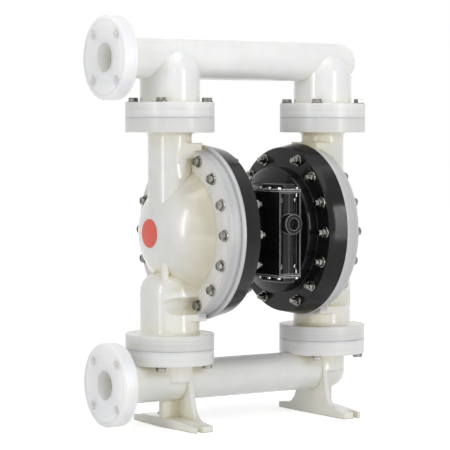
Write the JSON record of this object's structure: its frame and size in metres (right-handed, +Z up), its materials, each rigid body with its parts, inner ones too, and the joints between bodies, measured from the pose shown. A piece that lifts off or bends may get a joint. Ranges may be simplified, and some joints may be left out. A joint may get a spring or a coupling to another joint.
{
  "type": "air operated diaphragm pump",
  "caption": "Double diaphragm pump driven by air: two domed liquid caps, a central air valve, ball valve columns and flanged manifolds on feet.",
  "frame": {"origin": "on the floor, midway between the two valve columns", "axes": "+X along the manifolds away from the ports, +Y from the front to the exhaust side, +Z up"},
  "size_m": [0.6155, 0.3753, 0.8155],
  "materials": {
    "natural_plastic": "natural, slightly glossy",
    "black_plastic": "satin black",
    "moulded_plastic": "matt black",
    "stainless_steel": "bright",
    "light_alloy": "machined",
    "bronze": "machined",
    "elastomer": "matt",
    "ball_plastic": "smooth"
  },
  "bodies": {
    "housing": {"outlet_manifold": "natural_plastic", "inlet_manifold": "natural_plastic", "fluid_cap_left": "natural_plastic", "fluid_cap_right": "natural_plastic", "inlet_seat_left": "natural_plastic", "inlet_seat_right": "natural_plastic", "outlet_seat_left": "natural_plastic", "outlet_seat_right": "natural_plastic", "air_cap_left": "black_plastic", "air_cap_right": "black_plastic", "centre_body": "black_plastic", "valve_block": "black_plastic", "valve_end_cap_top": "black_plastic", "valve_end_cap_bottom": "black_plastic", "exhaust_cover": "black_plastic", "muffler": "moulded_plastic", "cap_bolts_left": "stainless_steel", "cap_bolts_right": "stainless_steel", "cap_nuts_left": "stainless_steel", "cap_nuts_right": "stainless_steel", "outlet_bolts": "stainless_steel", "inlet_bolts": "stainless_steel", "valve_bolt_washers": "stainless_steel", "valve_block_screws": "stainless_steel", "end_cap_screws": "stainless_steel", "exhaust_cover_screws": "stainless_steel", "air_cap_screws": "stainless_steel", "spool_sleeve": "light_alloy", "rod_bush_left": "bronze", "rod_bush_right": "bronze", "pilot_bush_left": "bronze", "pilot_bush_right": "bronze", "flange_inserts": "bronze", "diaphragm_left": "elastomer", "diaphragm_right": "elastomer", "rod_seal_left": "elastomer", "rod_seal_right": "elastomer", "valve_block_gasket": "elastomer", "air_cap_gasket_left": "elastomer", "air_cap_gasket_right": "elastomer", "inlet_seat_seal_left": "elastomer", "inlet_seat_seal_right": "elastomer", "outlet_seat_seal_left": "elastomer", "outlet_seat_seal_right": "elastomer"},
    "rod_assembly": {"connecting_rod": "stainless_steel", "inner_plate_left": "light_alloy", "outer_plate_left": "moulded_plastic", "plate_screw_left": "stainless_steel", "inner_plate_right": "light_alloy", "outer_plate_right": "moulded_plastic", "plate_screw_right": "stainless_steel"},
    "pilot_assembly": {"pilot_piston": "light_alloy", "pilot_pin_left": "stainless_steel", "pilot_pin_right": "stainless_steel"},
    "spool": {"valve_spool": "light_alloy"},
    "inlet_ball_left": {"inlet_ball_left": "ball_plastic"},
    "inlet_ball_right": {"inlet_ball_right": "ball_plastic"},
    "outlet_ball_left": {"outlet_ball_left": "ball_plastic"},
    "outlet_ball_right": {"outlet_ball_right": "ball_plastic"}
  },
  "joints": [
    {"name": "rod_stroke", "type": "slide", "parent": "housing", "child": "rod_assembly", "axis": [1, 0, 0], "range_m": [-0.02, 0.02], "deforming": ["diaphragm_left", "diaphragm_right"]},
    {"name": "pilot_shift", "type": "slide", "parent": "housing", "child": "pilot_assembly", "axis": [1, 0, 0], "range_m": [-0.005, 0.005]},
    {"name": "spool_shift", "type": "slide", "parent": "housing", "child": "spool", "axis": [0, 0, 1], "range_m": [0, 0.012]},
    {"name": "inlet_ball_left_lift", "type": "slide", "parent": "housing", "child": "inlet_ball_left", "axis": [0, 0, 1], "range_m": [0, 0.018]},
    {"name": "inlet_ball_right_lift", "type": "slide", "parent": "housing", "child": "inlet_ball_right", "axis": [0, 0, 1], "range_m": [0, 0.018]},
    {"name": "outlet_ball_left_lift", "type": "slide", "parent": "housing", "child": "outlet_ball_left", "axis": [0, 0, 1], "range_m": [0, 0.018]},
    {"name": "outlet_ball_right_lift", "type": "slide", "parent": "housing", "child": "outlet_ball_right", "axis": [0, 0, 1], "range_m": [0, 0.018]}
  ]
}
